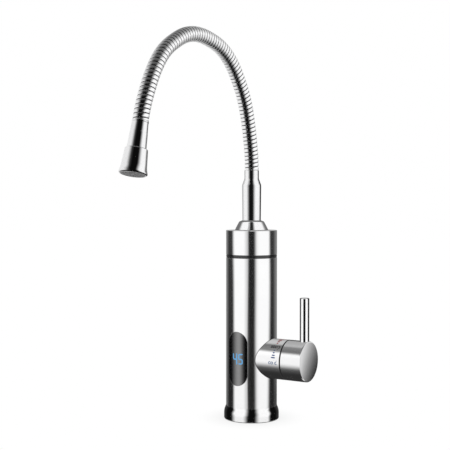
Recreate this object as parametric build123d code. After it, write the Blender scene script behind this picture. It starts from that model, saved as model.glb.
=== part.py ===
from build123d import *
import math
import os

# Electric instant water heater tap: a round brushed steel body that holds the
# heater, a side valve with a turned knob and a round pin, a display window in
# the front, and a swivelling spout that is a bendable steel hose.
# Millimetres. +Z up. The origin is the centre of the base on the worktop.
# The display and the spout look towards -Y, the knob's axis is +X.

# ---------------------------------------------------------------- dimensions
BODY_R = 25.5            # outside radius of body and cap
WALL = 1.2               # shell wall
IN_R = BODY_R - WALL     # inside radius of the shell
SHELL_LOW = 2.0
SHELL_TOP = 161.15
RING_LOW = 161.2         # black seam ring
RING_TOP = 164.5
CAP_TOP = 188.5

BASE_R = 27.5            # foot ring
FOOT_LOW = 0.4
FOOT_WALL_TOP = 5.0
FOOT_CREASE = 11.4       # where the foot's hollow sweep turns into its round wall
FOOT_TOP = 13.3

LEVER_Z = 61.7           # height of the knob's axis
LEVER_R = 19.8
HOUSING_END = 42.15
KNOB_START = 43.45
KNOB_RIM = 63.75
KNOB_EDGE = 64.95
KNOB_NOSE = 66.0
PIN_X = 59.8
PIN_R = 4.65
PIN_TOP = 123.6
PIN_SEAT = 80.2

WINDOW_TURN = -4.2       # the window's centre, degrees about Z from -Y
WINDOW_W = 22.2
WINDOW_H = 53.7
WINDOW_Z = 62.3

SHANK_R = 11.0           # M22 x 1.5 fixing thread, major radius
TAIL_R = 10.478          # G 1/2 water thread, major radius
SHANK_Y = 3.0
TAIL_TOP = -47.0
TAIL_LOW = -60.0
GLAND_Y = -13.7
GLAND_R = 3.7
GLAND_BORE = 3.0         # for a 6 mm round cord

CONE_R = 16.62
COLLAR_R_LOW = 9.2
COLLAR_R_TOP = 9.56
NECK_R = 7.2
HOSE_START = 248.2

HOSE_R = 7.15            # steel hose, outside
HOSE_BORE = 5.1
LINER_R = 4.1
LINER_BORE = 3.1
BALL_R = 6.55            # knuckle ball
SOCKET_R = 6.62          # knuckle socket, 0.07 running clearance

# Centreline of the hose: length along it and its angle from vertical.
HINGES = 5
HOSE_LENGTH = 305.12
STEP = HOSE_LENGTH / HINGES
HINGE_AT = [STEP * (i + 0.5) for i in range(HINGES)]
HINGE_ANGLE = [11.09, 35.67, 78.83, 118.65, 154.56]
MID_ANGLE = [18.42, 55.41, 97.42, 141.32]
START_ANGLE = 5.66
LAST_ANGLE = 161.5
END_ANGLE = 166.6
FLAT = 5.0               # straight length either side of a knuckle

os.makedirs("parts", exist_ok=True)
UP = (Align.CENTER, Align.CENTER, Align.MIN)


def save(name, shape):
    shape.label = name
    export_step(shape, f"parts/{name}.step")


def post(r, z0, z1, x=0.0, y=0.0):
    return Pos(x, y, z0) * Cylinder(r, z1 - z0, align=UP)


def tube(ro, ri, z0, z1, x=0.0, y=0.0):
    return post(ro, z0, z1, x, y) - post(ri, z0 - 1, z1 + 1, x, y)


def block(x0, x1, y0, y1, z0, z1):
    return Pos((x0 + x1) / 2, (y0 + y1) / 2, (z0 + z1) / 2) * Box(x1 - x0, y1 - y0, z1 - z0)


def lathe(points):
    """Closed outline of (r, z) corners turned about Z."""
    face = make_face(Polyline(*[(r, 0, z) for r, z in points], close=True))
    return revolve(face, axis=Axis.Z, revolution_arc=360)


def lathe_edges(edges):
    face = make_face(edges)
    return revolve(face, axis=Axis.Z, revolution_arc=360)


def line(a, b):
    return Line((a[0], 0, a[1]), (b[0], 0, b[1]))


def arc(a, m, b):
    return ThreePointArc((a[0], 0, a[1]), (m[0], 0, m[1]), (b[0], 0, b[1]))


def hexagon(across_flats, z0, z1, x=0.0, y=0.0, turn=0.0):
    shape = extrude(RegularPolygon(radius=across_flats / 2, side_count=6, major_radius=False, rotation=turn), z1 - z0)
    return Pos(x, y, z0) * shape


SIDE = Location((0, 0, LEVER_Z), (0, 90, 0))      # local Z becomes +X at the knob's height
FRONT = Location((0, 0, 0), (0, 0, WINDOW_TURN))  # turns the -Y side to the window


def upright_slot(w, h, z):
    """A slot-shaped prism through the -Y side, centred at height z."""
    shape = Plane.XZ * (Pos(0, z) * SlotOverall(h, w, rotation=90))
    return extrude(shape, amount=40)


# ---------------------------------------------------------------- foot and base
foot = lathe_edges([
    line((25.53, FOOT_TOP), (25.6, FOOT_TOP)),
    arc((25.6, FOOT_TOP), (25.83, 12.3), (26.2, FOOT_CREASE)),
    arc((26.2, FOOT_CREASE), (27.1, 8.86), (BASE_R, FOOT_WALL_TOP)),
    line((BASE_R, FOOT_WALL_TOP), (BASE_R, FOOT_LOW + 0.3)),
    line((BASE_R, FOOT_LOW + 0.3), (BASE_R - 0.3, FOOT_LOW)),
    line((BASE_R - 0.3, FOOT_LOW), (22.0, FOOT_LOW)),
    line((22.0, FOOT_LOW), (22.0, SHELL_LOW - 0.03)),
    line((22.0, SHELL_LOW - 0.03), (25.53, SHELL_LOW - 0.03)),
    line((25.53, SHELL_LOW - 0.03), (25.53, FOOT_TOP)),
])
save("base_flange", foot)

save("deck_gasket", tube(27.1, 19.5, 0, FOOT_LOW - 0.03) + tube(21.95, 19.5, 0, SHELL_LOW - 0.03))

rail = block(13.0, 16.0, -17.8, -13.8, 8.0, 94.0)
rail -= block(12.0, 14.15, -16.5, -14.7, 20.0, 95.0)
plate = post(24.2, SHELL_LOW, 9.0)
plate -= post(SHANK_R + 0.07, 1, 10, 0, SHANK_Y)
plate -= post(GLAND_R + 0.07, 1, 10, 0, GLAND_Y)
plate += FRONT * (rail + mirror(rail, about=Plane.YZ))
SCREW_ANGLES = (90, 210, 330)
for a in SCREW_ANGLES:
    plate -= Rot(0, 0, a) * (Location((16.0, 0, 6.0), (0, 90, 0)) * Cylinder(1.3, 12, align=UP))
save("base_plate", plate)

screws = []
for a in SCREW_ANGLES:
    s = Cylinder(1.25, 6.9, align=UP)                      # from r 17.5 to 24.4
    s += Pos(0, 0, 6.9) * Cone(1.25, 2.1, 0.95, align=UP)  # countersunk head
    s -= Pos(0, 0, 7.45) * Box(2.6, 0.5, 0.5, align=UP)
    screws.append(Rot(0, 0, a) * (Location((17.5, 0, 6.0), (0, 90, 0)) * s))
save("shell_screws", Compound(children=screws))

gland = post(GLAND_R, -3.0, 12.0, 0, GLAND_Y) + post(4.6, 9.05, 10.8, 0, GLAND_Y)
gland -= post(GLAND_BORE, -4, 13, 0, GLAND_Y)
save("cable_gland", gland)

# ---------------------------------------------------------------- fixing under the worktop
flange = post(13.0, 9.05, 11.5, 0, SHANK_Y) - block(-15, 15, -15, -8.95, 8, 13)
shank = post(SHANK_R, TAIL_TOP, 9.1, 0, SHANK_Y) + post(TAIL_R, TAIL_LOW, TAIL_TOP, 0, SHANK_Y) + flange
shank += post(4.13, 11.0, 22.0, 0, SHANK_Y)
shank -= post(6.5, TAIL_LOW - 1, 8.0, 0, SHANK_Y)
shank -= post(3.2, 7.0, 23.0, 0, SHANK_Y)
save("inlet_shank", shank)

strainer = tube(6.44, 5.6, TAIL_LOW + 1, TAIL_LOW + 8, 0, SHANK_Y) + post(6.44, TAIL_LOW + 7.1, TAIL_LOW + 8, 0, SHANK_Y)
for i in range(6):
    a = math.radians(60 * i)
    strainer -= post(0.9, TAIL_LOW + 6, TAIL_LOW + 9, 3.6 * math.cos(a), SHANK_Y + 3.6 * math.sin(a))
strainer -= post(0.9, TAIL_LOW + 6, TAIL_LOW + 9, 0, SHANK_Y)
save("inlet_filter", strainer)

NUT_LOW, NUT_TOP = -46.0, -38.0
nut = hexagon(27.0, NUT_LOW, NUT_TOP, 0, SHANK_Y) - post(SHANK_R + 0.06, NUT_LOW - 1, NUT_TOP + 1, 0, SHANK_Y)
nut = nut & lathe([(0, NUT_LOW), (14.1, NUT_LOW), (15.6, NUT_LOW + 1.1), (15.6, NUT_TOP - 1.1), (14.1, NUT_TOP), (0, NUT_TOP)]).moved(Location((0, SHANK_Y, 0)))
save("fixing_nut", nut)


def horseshoe(z0, z1):
    s = post(21.0, z0, z1) - post(SHANK_R + 0.3, z0 - 1, z1 + 1, 0, SHANK_Y)
    return s - block(-4.5, 4.5, -22.0, -2.0, z0 - 1, z1 + 1)


save("fixing_washer", horseshoe(-37.95, -36.0))
save("rubber_washer", horseshoe(-35.95, -33.0))

# ---------------------------------------------------------------- shell
window_cut = FRONT * upright_slot(WINDOW_W, WINDOW_H, WINDOW_Z)
side_hole = SIDE * (Pos(0, 0, 15) * Cylinder(13.85, 15, align=UP))
shell = tube(BODY_R, IN_R, SHELL_LOW, SHELL_TOP) - window_cut - side_hole
for a in SCREW_ANGLES:
    shell -= Rot(0, 0, a) * (Location((23.0, 0, 6.0), (0, 90, 0)) * Cylinder(1.4, 4, align=UP))
    shell -= Rot(0, 0, a) * (Location((24.38, 0, 6.0), (0, 90, 0)) * Cone(1.3, 2.8, 1.5, align=UP))
save("body_shell", shell)

# ---------------------------------------------------------------- display
lens = FRONT * upright_slot(WINDOW_W - 0.24, WINDOW_H - 0.24, WINDOW_Z)
lens = lens & tube(BODY_R - 0.08, 23.2, 20, 110)
rim = FRONT * upright_slot(WINDOW_W + 2.6, WINDOW_H + 2.6, WINDOW_Z)
rim = rim & tube(IN_R - 0.04, 23.2, 20, 110)
save("display_window", lens + rim)

led = block(-8, 8, -21.4, -16.5, WINDOW_Z - 12, WINDOW_Z + 12)
save("led_display", FRONT * led)
board = block(-13.9, 13.9, -16.4, -14.8, 33, 92)
board += block(-4.5, 4.5, -15.0, -9.6, 38, 46)        # mains terminal block
board += block(-0.5, 11.5, -15.0, -9.6, 79.5, 90)     # heater terminal block
board += block(-12.5, -8.5, -15.0, -12.4, 50, 60)     # relay driver
board += block(9.0, 12.5, -15.0, -12.6, 48, 55)
save("control_board", FRONT * board)
triac = block(-12.0, -2.0, -14.75, -10.3, 71, 86) + block(-12.0, -2.0, -14.75, -13.45, 86, 91.5)
triac -= Location((-7.0, -9.0, 88.8), (90, 0, 0)) * Cylinder(1.6, 20)
save("power_triac", FRONT * triac)

# ---------------------------------------------------------------- valve
valve = SIDE * (Pos(0, 0, -8) * Cylinder(13.5, 44, align=UP))
valve += post(7.0, 12.05, 58, 0, SHANK_Y)
valve += post(6.5, 60, 82, 12.0, 0)
valve -= SIDE * (Pos(0, 0, 7) * Cylinder(10.45, 30, align=UP))
valve -= post(4.2, 11, LEVER_Z + 0.3, 0, SHANK_Y)
valve -= SIDE * (Cylinder(4.2, 8, align=UP))
valve -= post(4.0, LEVER_Z + 5, 83, 12.0, 0)
save("valve_body", valve)

cart = tube(10.4, 8.6, 7.05, 36.05) + tube(8.8, 4.06, 17.0, 36.05)
cart += Pos(0, 0, 36.05) * (extrude(RegularPolygon(radius=11.2, side_count=6, major_radius=False), 3.2) - Cylinder(4.06, 10))
cart -= Location((0, 0, 13.9), (0, -90, 0)) * Cylinder(3.1, 14, align=UP)
cart -= post(8.6, 7.0, 17.0)
save("cartridge_body", SIDE * cart)

nutring = tube(17.0, 13.56, 30.05, 35.9)
for i in range(6):
    nutring -= Rot(0, 0, 60 * i) * (Pos(17.0, 0, 34.0) * Box(2.4, 4.0, 6.0))
save("cartridge_nut", SIDE * nutring)

fixed = post(8.4, 9.0, 11.45) - (post(5.6, 8, 12) & block(-8, 8, 0.8, 8, 8, 12))
save("fixed_disc", SIDE * fixed)

disc = post(8.2, 11.5, 13.9) - (post(5.6, 11, 15) & block(-8, 8, -8, -0.8, 11, 15))
save("moving_disc", SIDE * disc)
spindle = post(8.0, 13.95, 16.5) + post(4.0, 16.4, 51.0)
save("spindle", SIDE * spindle)

# ---------------------------------------------------------------- knob side
housing = tube(LEVER_R, LEVER_R - 2.0, 14.0, HOUSING_END) + tube(LEVER_R - 1.0, 13.7, 27.5, 30.0)
housing = SIDE * housing
housing -= post(BODY_R + 0.02, 0, 120)
save("lever_housing", housing)

save("lever_seam_ring", SIDE * (tube(LEVER_R - 2.05, 15.5, 38.0, HOUSING_END) + tube(18.9, 15.5, HOUSING_END + 0.02, KNOB_START - 0.08) + tube(16.5, 15.5, 41.0, 42.5)))

knob = lathe_edges([
    line((0, 53.0), (0, KNOB_NOSE)),
    arc((0, KNOB_NOSE), (LEVER_R / 2, KNOB_NOSE - 0.28), (LEVER_R - 1.2, KNOB_EDGE)),
    arc((LEVER_R - 1.2, KNOB_EDGE), (LEVER_R - 0.351, KNOB_EDGE - 0.351), (LEVER_R, KNOB_RIM)),
    line((LEVER_R, KNOB_RIM), (LEVER_R, KNOB_START + 0.25)),
    line((LEVER_R, KNOB_START + 0.25), (LEVER_R - 0.25, KNOB_START)),
    line((LEVER_R - 0.25, KNOB_START), (17.3, KNOB_START)),
    line((17.3, KNOB_START), (17.3, 53.0)),
    line((17.3, 53.0), (8.0, 53.0)),
    line((8.0, 53.0), (8.0, 44.0)),
    line((8.0, 44.0), (4.04, 44.0)),
    line((4.04, 44.0), (4.04, 53.0)),
    line((4.04, 53.0), (0, 53.0)),
])
knob = SIDE * knob
knob -= post(2.5, LEVER_Z + 7.0, LEVER_Z + 30, PIN_X, 0)
knob -= post(PIN_R + 0.05, PIN_SEAT, PIN_SEAT + 10, PIN_X, 0)
knob -= post(2.03, LEVER_Z - 10.5, LEVER_Z, 48.5, 0)
knob -= post(2.3, LEVER_Z - 25, LEVER_Z - 16, 48.5, 0)
save("handle_knob", knob)

pin = lathe_edges([
    line((0, LEVER_Z + 8.0), (2.45, LEVER_Z + 8.0)),
    line((2.45, LEVER_Z + 8.0), (2.45, PIN_SEAT + 0.05)),
    line((2.45, PIN_SEAT + 0.05), (PIN_R, PIN_SEAT + 0.05)),
    line((PIN_R, PIN_SEAT + 0.05), (PIN_R, PIN_TOP - 0.8)),
    arc((PIN_R, PIN_TOP - 0.8), (PIN_R - 0.23, PIN_TOP - 0.23), (PIN_R - 0.8, PIN_TOP)),
    line((PIN_R - 0.8, PIN_TOP), (0, PIN_TOP)),
    line((0, PIN_TOP), (0, LEVER_Z + 8.0)),
])
save("handle_pin", Pos(PIN_X, 0, 0) * pin)

grub = post(1.97, LEVER_Z - 10.0, LEVER_Z - 4.03, 48.5, 0)
grub -= hexagon(2.0, LEVER_Z - 11.0, LEVER_Z - 7.8, 48.5, 0)
save("grub_screw", grub)

# ---------------------------------------------------------------- flow switch
FX = 12.0
flow = tube(7.6, 5.2, 84.0, 97.8, FX) + tube(7.6, 4.0, 82.05, 84.0, FX)
flow += tube(7.6, 3.0, 97.8, 99.9, FX) + tube(5.2, 3.0, 99.9, 103.0, FX)
save("flow_housing", flow)

piston = tube(5.13, 4.35, 84.05, 89.6, FX) + post(5.13, 84.05, 85.3, FX)
for i in range(4):
    piston -= Pos(FX, 0, 0) * (Rot(0, 0, 45 + 90 * i) * block(4.5, 6.0, -0.9, 0.9, 83, 91))
save("flow_piston", piston)
save("piston_magnet", post(4.3, 85.33, 88.6, FX))
COIL_R, COIL_WIRE, COIL_LOW, COIL_TOP, COIL_TURNS = 4.7, 0.3, 89.98, 97.42, 4
helix = Helix(pitch=(COIL_TOP - COIL_LOW) / COIL_TURNS, height=COIL_TOP - COIL_LOW, radius=COIL_R)
wire = sweep(Plane(origin=helix @ 0, z_dir=helix % 0) * Circle(COIL_WIRE), path=helix)
save("flow_spring", Pos(FX, 0, COIL_LOW) * wire)
save("reed_switch", block(FX + 7.65, FX + 10.8, -2.0, 2.0, 86, 98))

# ---------------------------------------------------------------- heater
TANK_R = 20.5
tank = lathe([
    (TANK_R, 104.05), (TANK_R, 156.5), (TANK_R - 1.5, 158.0), (4.05, 158.0), (4.05, 156.8),
    (TANK_R - 2.0, 156.8), (TANK_R - 1.2, 156.0), (TANK_R - 1.2, 104.05)])
tank -= post(3.05, 150, 160, -14.5, 0)
save("heater_tank", tank)

cover = post(TANK_R, 100.0, 104.0) + post(19.2, 104.0, 108.0)
cover -= lathe([(17.9, 105.0), (21.0, 105.0), (21.0, 106.6), (17.9, 106.6)])
cover += post(19.2, 106.6, 108.0)
cover -= post(5.27, 99, 103.1, FX, 0) + post(3.0, 99, 110, FX, 0)
LEG_X, LEG_Y, LEG_R = 9.0, 10.5, 2.4
for x in (-LEG_X, LEG_X):
    for y in (-LEG_Y, LEG_Y):
        cover -= post(LEG_R + 0.05, 99, 110, x, y)
save("tank_cover", cover)
save("tank_seal", Pos(0, 0, 105.8) * Torus(18.58, 0.68))

LEG_LOW, LEG_TOP = 95.0, 136.0
hairpins = []
for y in (-LEG_Y, LEG_Y):
    leg = [Line((-LEG_X, y, LEG_LOW), (-LEG_X, y, LEG_TOP)),
           ThreePointArc((-LEG_X, y, LEG_TOP), (0, y, LEG_TOP + LEG_X), (LEG_X, y, LEG_TOP)),
           Line((LEG_X, y, LEG_TOP), (LEG_X, y, LEG_LOW))]
    path = Wire([e.edge() for e in leg])
    hairpins.append(sweep(Plane(origin=(-LEG_X, y, LEG_LOW), z_dir=(0, 0, 1)) * Circle(LEG_R), path=path))
save("heating_element", Compound(children=[h.solid() for h in hairpins]))

# Mains pair up from the gland, the two heater leads and the strap between the hairpins.
LEAD_R = 0.9
leads = [post(LEAD_R, 12.3, 37.98, x, GLAND_Y) for x in (-1.3, 1.3)]
leads.append(post(LEAD_R, 90.02, LEG_LOW - 0.02, LEG_X, -LEG_Y))
run = [(LEG_X, LEG_Y, LEG_LOW - 0.02), (LEG_X, LEG_Y, 85.0), (1.2, 6.0, 85.0), (1.2, -9.4, 85.0)]
run_path = FilletPolyline(*run, radius=3.0)
leads.append(sweep(Plane(origin=run[0], z_dir=(0, 0, -1)) * Circle(LEAD_R), path=run_path))
leads.append(block(-LEG_X - 1.5, -LEG_X + 1.5, -LEG_Y - 1.5, LEG_Y + 1.5, LEG_LOW - 1.4, LEG_LOW - 0.02))
save("inner_leads", Compound(children=[x.solid() for x in leads]))

save("thermal_cutout", block(-5, 5, 20.6, 23.6, 122, 142))
save("temperature_sensor", post(3.0, 149, 163, -14.5, 0) + hexagon(8.6, 158.05, 161, -14.5, 0))

# ---------------------------------------------------------------- top
save("seam_ring", lathe([
    (24.22, 155.0), (24.22, RING_LOW), (25.2, RING_LOW), (25.2, 162.2), (25.42, 162.4), (25.42, 163.4),
    (25.2, 163.6), (25.2, RING_TOP), (24.22, RING_TOP), (24.22, 170.0), (22.8, 170.0), (22.8, 155.0)]))

cap = lathe([
    (BODY_R, RING_TOP + 0.04), (BODY_R, CAP_TOP - 0.4), (BODY_R - 0.4, CAP_TOP), (13.97, CAP_TOP), (13.97, 177.0),
    (17.0, 177.0), (17.0, 185.5), (IN_R, 185.5), (IN_R, RING_TOP + 0.04)])
save("top_cap", cap)

cone = lathe_edges([
    line((13.9, 178.0), (13.9, CAP_TOP + 0.03)),
    line((13.9, CAP_TOP + 0.03), (CONE_R - 0.3, CAP_TOP + 0.03)),
    line((CONE_R - 0.3, CAP_TOP + 0.03), (CONE_R, CAP_TOP + 0.45)),
    line((CONE_R, CAP_TOP + 0.45), (12.74, 196.4)),
    arc((12.74, 196.4), (12.27, 196.99), (11.6, 197.34)),
    line((11.6, 197.34), (9.28, 198.3)),
    line((9.28, 198.3), (9.28, 193.0)),
    line((9.28, 193.0), (11.35, 193.0)),
    line((11.35, 193.0), (11.35, 178.0)),
    line((11.35, 178.0), (13.9, 178.0)),
])
save("cone_nut", cone)

spigot = lathe([
    (4.0, 158.05), (9.0, 158.05), (9.0, 161.0), (7.4, 161.0), (7.4, 181.0), (11.0, 181.0), (11.0, 185.93), (6.4, 185.93),
    (6.4, 191.0), (4.85, 191.0), (4.85, 193.0), (6.4, 193.0), (6.4, 197.0), (4.85, 197.0), (4.85, 199.0), (6.4, 199.0),
    (6.4, 204.6), (6.0, 205.0), (4.0, 205.0)])
save("outlet_spigot", spigot)
save("spigot_seals", Compound(children=[(Pos(0, 0, z) * Torus(5.66, 0.76)).solid() for z in (192, 198)]))
save("slip_ring", tube(11.3, 9.3, 189.95, 192.95) - block(-12, 0, -1.2, 1.2, 189, 194))

# ---------------------------------------------------------------- spout collar
collar = lathe_edges([
    line((6.46, 186.0), (11.27, 186.0)),
    line((11.27, 186.0), (11.27, 189.9)),
    line((11.27, 189.9), (COLLAR_R_LOW, 189.9)),
    line((COLLAR_R_LOW, 189.9), (COLLAR_R_LOW, 199.5)),
    line((COLLAR_R_LOW, 199.5), (COLLAR_R_TOP, 232.5)),
    arc((COLLAR_R_TOP, 232.5), (COLLAR_R_TOP - 0.09, 233.4), (COLLAR_R_TOP - 0.35, 234.3)),
    line((COLLAR_R_TOP - 0.35, 234.3), (NECK_R + 0.3, 239.05)),
    arc((NECK_R + 0.3, 239.05), (NECK_R + 0.07, 239.8), (NECK_R, 240.6)),
    line((NECK_R, 240.6), (NECK_R, HOSE_START - 0.25)),
    line((NECK_R, HOSE_START - 0.25), (NECK_R - 0.25, HOSE_START)),
    line((NECK_R - 0.25, HOSE_START), (6.25, HOSE_START)),
    line((6.25, HOSE_START), (6.25, 238.4)),
    line((6.25, 238.4), (4.3, 238.4)),
    line((4.3, 238.4), (4.3, 206.0)),
    line((4.3, 206.0), (6.46, 206.0)),
    line((6.46, 206.0), (6.46, 186.0)),
])
save("spout_collar", collar)

# ---------------------------------------------------------------- hose
stations = [(0.0, 0.0), ((HINGE_AT[0] - FLAT) / 2, START_ANGLE)]
for i in range(HINGES):
    stations += [(HINGE_AT[i] - FLAT, HINGE_ANGLE[i]), (HINGE_AT[i] + FLAT, HINGE_ANGLE[i])]
    if i < HINGES - 1:
        stations.append(((HINGE_AT[i] + HINGE_AT[i + 1]) / 2, MID_ANGLE[i]))
stations += [((HINGE_AT[-1] + FLAT + HOSE_LENGTH) / 2, LAST_ANGLE), (HOSE_LENGTH, END_ANGLE)]


def heading(angle):
    t = math.radians(angle)
    return Vector(0, -math.sin(t), math.cos(t))


def turned(angle):
    """Unit vector towards the inside of the bend."""
    t = math.radians(angle)
    return Vector(0, -math.cos(t), -math.sin(t))


# Each span: start length, end length, start point, start angle, end angle.
spans = []
here = Vector(0, 0, HOSE_START)
for (l0, a0), (l1, a1) in zip(stations, stations[1:]):
    spans.append((l0, l1, here, a0, a1))
    if abs(a1 - a0) < 1e-9:
        here = here + heading(a0) * (l1 - l0)
    else:
        radius = (l1 - l0) / math.radians(a1 - a0)
        here = here + turned(a0) * radius - turned(a1) * radius
HOSE_END = here


def spot(length):
    """Point and angle of the centreline at a length."""
    for l0, l1, p, a0, a1 in spans:
        if length <= l1 + 1e-9:
            if abs(a1 - a0) < 1e-9:
                return p + heading(a0) * (length - l0), a0
            radius = (l1 - l0) / math.radians(a1 - a0)
            a = a0 + math.degrees((length - l0) / radius)
            return p + turned(a0) * radius - turned(a) * radius, a
    return HOSE_END, END_ANGLE


def frame_at(length):
    p, a = spot(length)
    return Plane(origin=p, x_dir=(1, 0, 0), z_dir=heading(a))


def bent_tube(ro, ri, l_from, l_to):
    """Round tube along the centreline from one length to another."""
    edges = []
    for l0, l1, p, a0, a1 in spans:
        s, e = max(l0, l_from), min(l1, l_to)
        if e - s < 1e-6:
            continue
        if abs(a1 - a0) < 1e-9:
            edges.append(Line(spot(s)[0], spot(e)[0]).edge())
        else:
            edges.append(ThreePointArc(spot(s)[0], spot((s + e) / 2)[0], spot(e)[0]).edge())
    path = Wire(edges)
    at = frame_at(l_from)
    outer = sweep(at * Circle(ro), path=path)
    inner = sweep(at * Circle(ri), path=path)
    return outer - inner


def knuckle_ball():
    z_neck = -math.sqrt(BALL_R ** 2 - 5.62 ** 2)
    return lathe_edges([
        line((HOSE_BORE, -FLAT), (HOSE_R, -FLAT)),
        line((HOSE_R, -FLAT), (HOSE_R, -3.95)),
        line((HOSE_R, -3.95), (5.62, -3.95)),
        line((5.62, -3.95), (5.62, z_neck)),
        arc((5.62, z_neck), (BALL_R, 0), (math.sqrt(BALL_R ** 2 - 3.5 ** 2), 3.5)),
        line((math.sqrt(BALL_R ** 2 - 3.5 ** 2), 3.5), (HOSE_BORE, 3.5)),
        line((HOSE_BORE, 3.5), (HOSE_BORE, -FLAT)),
    ])


def knuckle_socket():
    z_in = math.sqrt(SOCKET_R ** 2 - HOSE_BORE ** 2)
    r_mouth = math.sqrt(SOCKET_R ** 2 - 2.2 ** 2)
    return lathe_edges([
        line((r_mouth, -2.2), (HOSE_R, -2.2)),
        line((HOSE_R, -2.2), (HOSE_R, FLAT)),
        line((HOSE_R, FLAT), (HOSE_BORE, FLAT)),
        line((HOSE_BORE, FLAT), (HOSE_BORE, z_in)),
        arc((HOSE_BORE, z_in), (SOCKET_R, 0), (r_mouth, -2.2)),
    ])


for i in range(HINGES + 1):
    low = 0.05 if i == 0 else HINGE_AT[i - 1] + FLAT
    high = HOSE_LENGTH - 0.05 if i == HINGES else HINGE_AT[i] - FLAT
    casing = bent_tube(HOSE_R, HOSE_BORE, low, high)
    if i == 0:
        casing += tube(6.2, HOSE_BORE, 238.6, HOSE_START + 0.05)
    else:
        casing += frame_at(HINGE_AT[i - 1]) * knuckle_socket()
    if i == HINGES:
        casing += Plane(origin=HOSE_END, x_dir=(1, 0, 0), z_dir=heading(END_ANGLE)) * tube(6.2, HOSE_BORE, -0.05, 9.5)
    else:
        casing += frame_at(HINGE_AT[i]) * knuckle_ball()
    save(f"hose_casing_{i}", casing)

    low = 0.0 if i == 0 else HINGE_AT[i - 1] + 0.5
    high = HOSE_LENGTH if i == HINGES else HINGE_AT[i] - 0.5
    liner = bent_tube(LINER_R, LINER_BORE, low, high)
    if i == 0:
        liner += tube(LINER_R, LINER_BORE, 225.0, HOSE_START)
    if i == HINGES:
        liner += Plane(origin=HOSE_END, x_dir=(1, 0, 0), z_dir=heading(END_ANGLE)) * tube(LINER_R, LINER_BORE, 0, 18.0)
    save(f"hose_liner_{i}", liner)

# ---------------------------------------------------------------- nozzle
NOZZLE = Plane(origin=HOSE_END, x_dir=(1, 0, 0), z_dir=heading(END_ANGLE))
ferrule = lathe([
    (6.25, 0.0), (7.15, 0.0), (7.25, 0.3), (7.25, 1.1), (7.05, 1.4), (7.56, 9.9), (7.66, 10.2), (8.38, 23.8), (8.18, 24.1),
    (6.9, 24.1), (6.9, 28.0), (4.3, 28.0), (4.3, 9.8), (6.25, 9.8)])
save("nozzle_ferrule", NOZZLE * ferrule)

bell = lathe_edges([
    line((6.96, 24.15), (9.55, 24.15)),
    line((9.55, 24.15), (9.86, 24.6)),
    line((9.86, 24.6), (10.91, 37.8)),
    arc((10.91, 37.8), (11.37, 41.3), (12.2, 44.3)),
    arc((12.2, 44.3), (12.18, 45.45), (11.2, 46.2)),
    line((11.2, 46.2), (10.52, 46.2)),
    line((10.52, 46.2), (10.48, 45.0)),
    line((10.48, 45.0), (9.0, 33.4)),
    line((9.0, 33.4), (6.96, 31.0)),
    line((6.96, 31.0), (6.96, 24.15)),
])
save("nozzle_bell", NOZZLE * bell)

insert = lathe([(0, 45.0), (10.38, 45.0), (10.44, 46.1), (10.2, 46.4), (0, 46.4)]) + lathe([(8.6, 37.0), (9.38, 37.0), (10.36, 45.1), (8.6, 45.1)])
for r, n in ((2.3, 6), (4.5, 12), (6.7, 18)):
    for k in range(n):
        a = 2 * math.pi * k / n
        insert -= post(0.5, 44, 47, r * math.cos(a), r * math.sin(a))
insert -= post(0.5, 44, 47)
save("aerator_insert", NOZZLE * insert)

print("hose end", HOSE_END, "nozzle face", HOSE_END + heading(END_ANGLE) * 46.4)
for i in range(HINGES):
    p, a = spot(HINGE_AT[i])
    print("hinge", i + 1, [round(v, 4) for v in (p.X, p.Y, p.Z)], a)
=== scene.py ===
import math

import bmesh
import bpy
from mathutils import Euler, Matrix, Vector


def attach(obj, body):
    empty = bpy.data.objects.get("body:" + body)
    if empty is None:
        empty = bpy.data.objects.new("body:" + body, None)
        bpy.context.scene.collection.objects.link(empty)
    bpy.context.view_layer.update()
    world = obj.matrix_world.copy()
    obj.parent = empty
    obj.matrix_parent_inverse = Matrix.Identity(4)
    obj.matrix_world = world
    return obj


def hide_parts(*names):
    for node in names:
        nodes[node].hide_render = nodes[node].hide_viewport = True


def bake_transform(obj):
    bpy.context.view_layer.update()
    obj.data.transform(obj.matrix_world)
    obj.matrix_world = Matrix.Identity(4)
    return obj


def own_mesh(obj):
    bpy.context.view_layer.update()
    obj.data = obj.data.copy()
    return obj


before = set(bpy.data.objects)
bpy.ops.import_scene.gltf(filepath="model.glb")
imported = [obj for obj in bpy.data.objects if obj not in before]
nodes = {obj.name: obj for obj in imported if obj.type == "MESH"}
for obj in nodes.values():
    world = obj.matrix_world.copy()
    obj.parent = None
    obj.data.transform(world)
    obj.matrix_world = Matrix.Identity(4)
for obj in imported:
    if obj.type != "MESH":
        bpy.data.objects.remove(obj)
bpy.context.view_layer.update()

scene = bpy.context.scene
scene.view_settings.view_transform = "Standard"

# ---------------------------------------------------------------- camera
cam_data = bpy.data.cameras.new("camera")
cam_data.lens = 78.8
cam_data.sensor_width = 36.0
cam = bpy.data.objects.new("camera", cam_data)
scene.collection.objects.link(cam)
cam.location = (0.50240, -0.84782, 0.2232)
cam.rotation_euler = Vector((-0.53259, 0.84583, -0.030095)).to_track_quat("-Z", "Y").to_euler()
scene.camera = cam


# ---------------------------------------------------------------- small helpers
def clamp01(t):
    return max(0.0, min(1.0, t))


def smooth(x, a, b):
    t = clamp01((x - a) / (b - a))
    return t * t * (3 - 2 * t)


def new_mesh_object(name, bm, smooth_faces=True):
    mesh = bpy.data.meshes.new(name)
    bmesh.ops.recalc_face_normals(bm, faces=bm.faces)
    bm.to_mesh(mesh)
    bm.free()
    for p in mesh.polygons:
        p.use_smooth = smooth_faces
    obj = bpy.data.objects.new(name, mesh)
    scene.collection.objects.link(obj)
    return obj


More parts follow.
